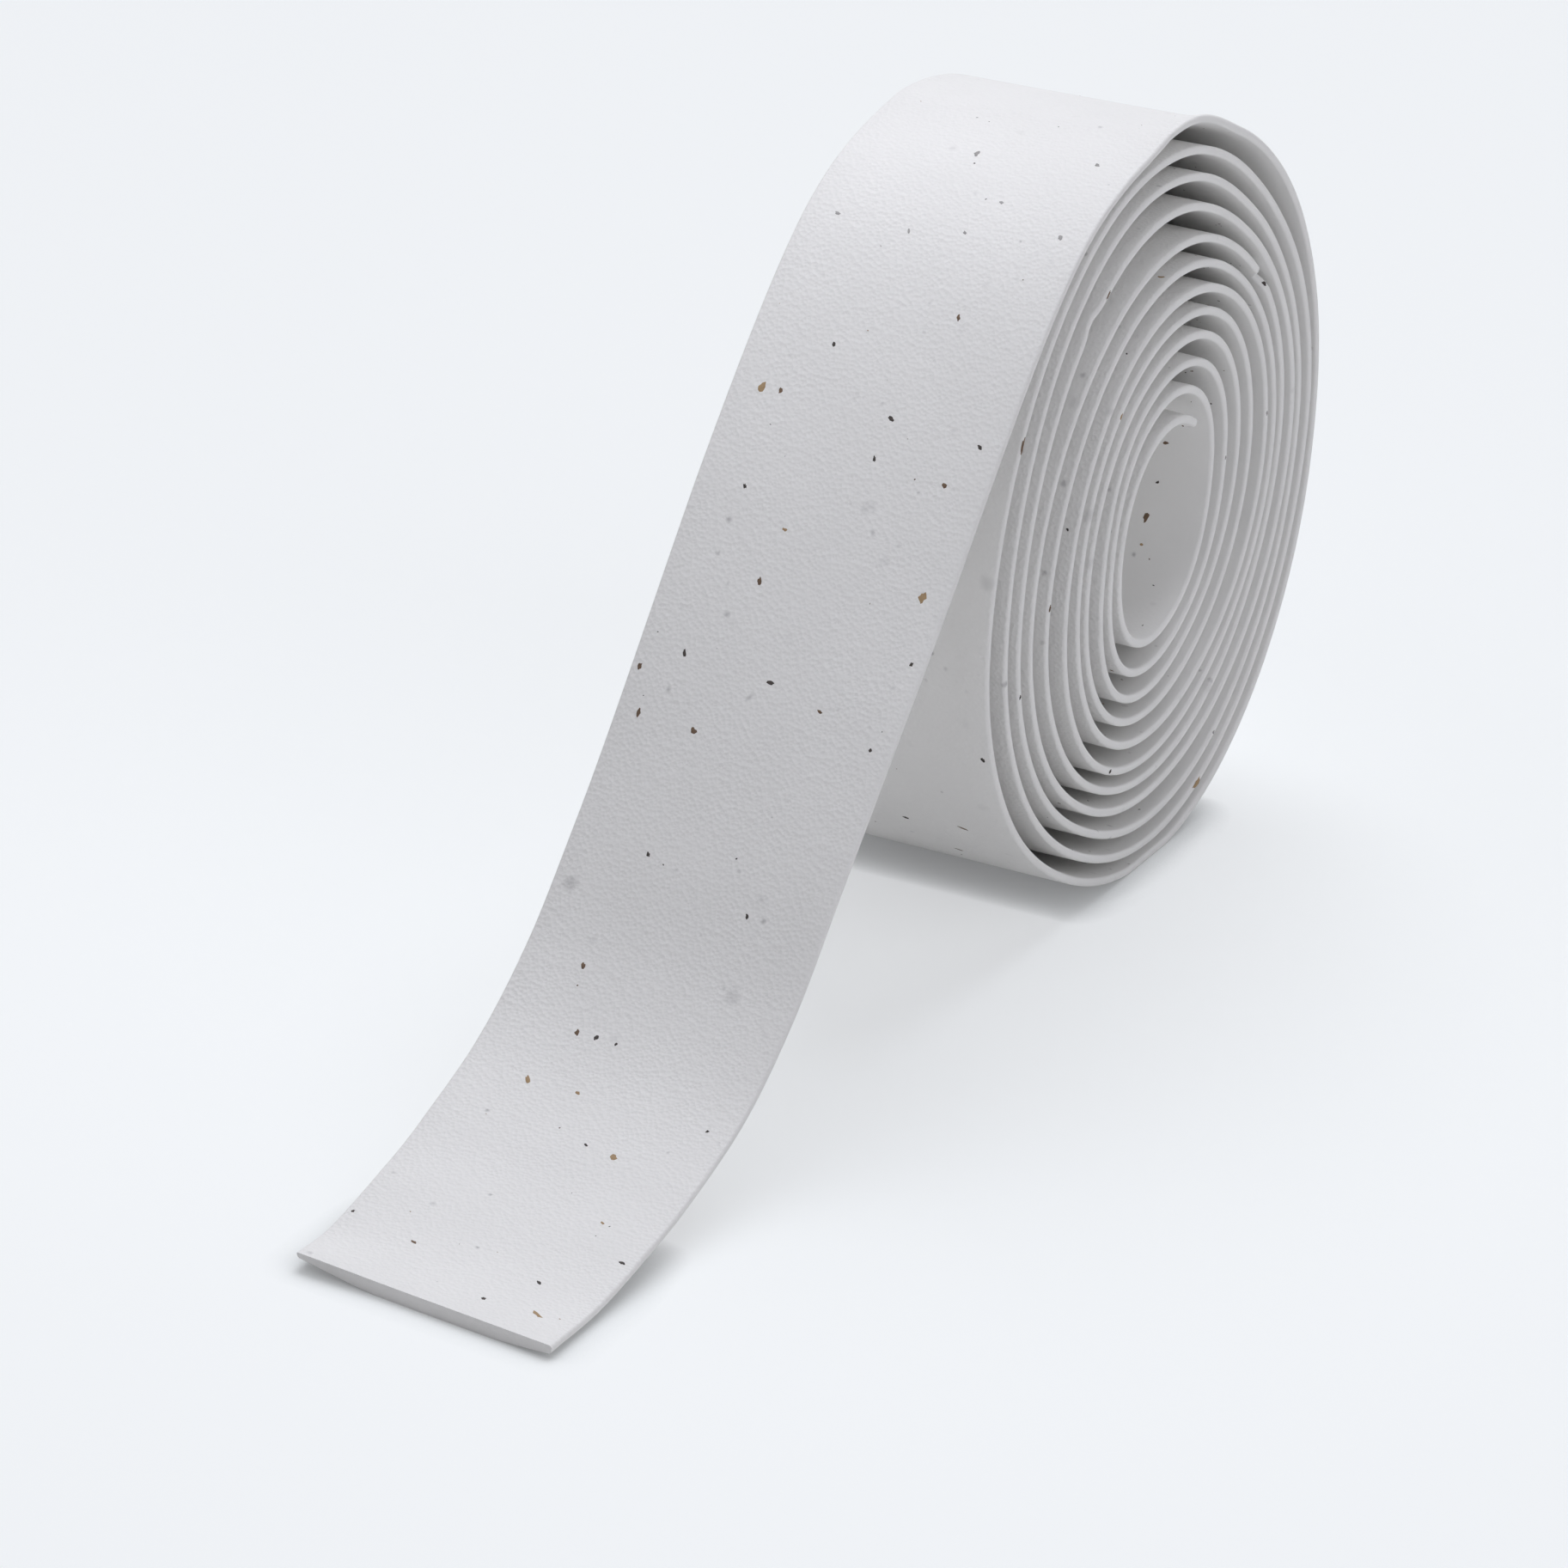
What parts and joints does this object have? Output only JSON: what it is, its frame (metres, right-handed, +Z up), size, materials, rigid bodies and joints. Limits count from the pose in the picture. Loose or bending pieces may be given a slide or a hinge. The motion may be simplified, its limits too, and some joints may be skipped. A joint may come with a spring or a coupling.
{
  "type": "roll of handlebar tape",
  "caption": "Loosely wound roll of white speckled foam handlebar tape, standing on its rim with the free end swept down to the floor.",
  "frame": {"origin": "on the floor, under the middle of the roll and its tail", "axes": "+X towards the cut end of the tail, +Y along the roll's axis, across the tape, +Z up"},
  "size_m": [0.178, 0.03, 0.0829],
  "materials": {
    "foam": "fine leather grain with cork-like flecks"
  },
  "bodies": {
    "root": {"tape": "foam"}
  },
  "joints": []
}
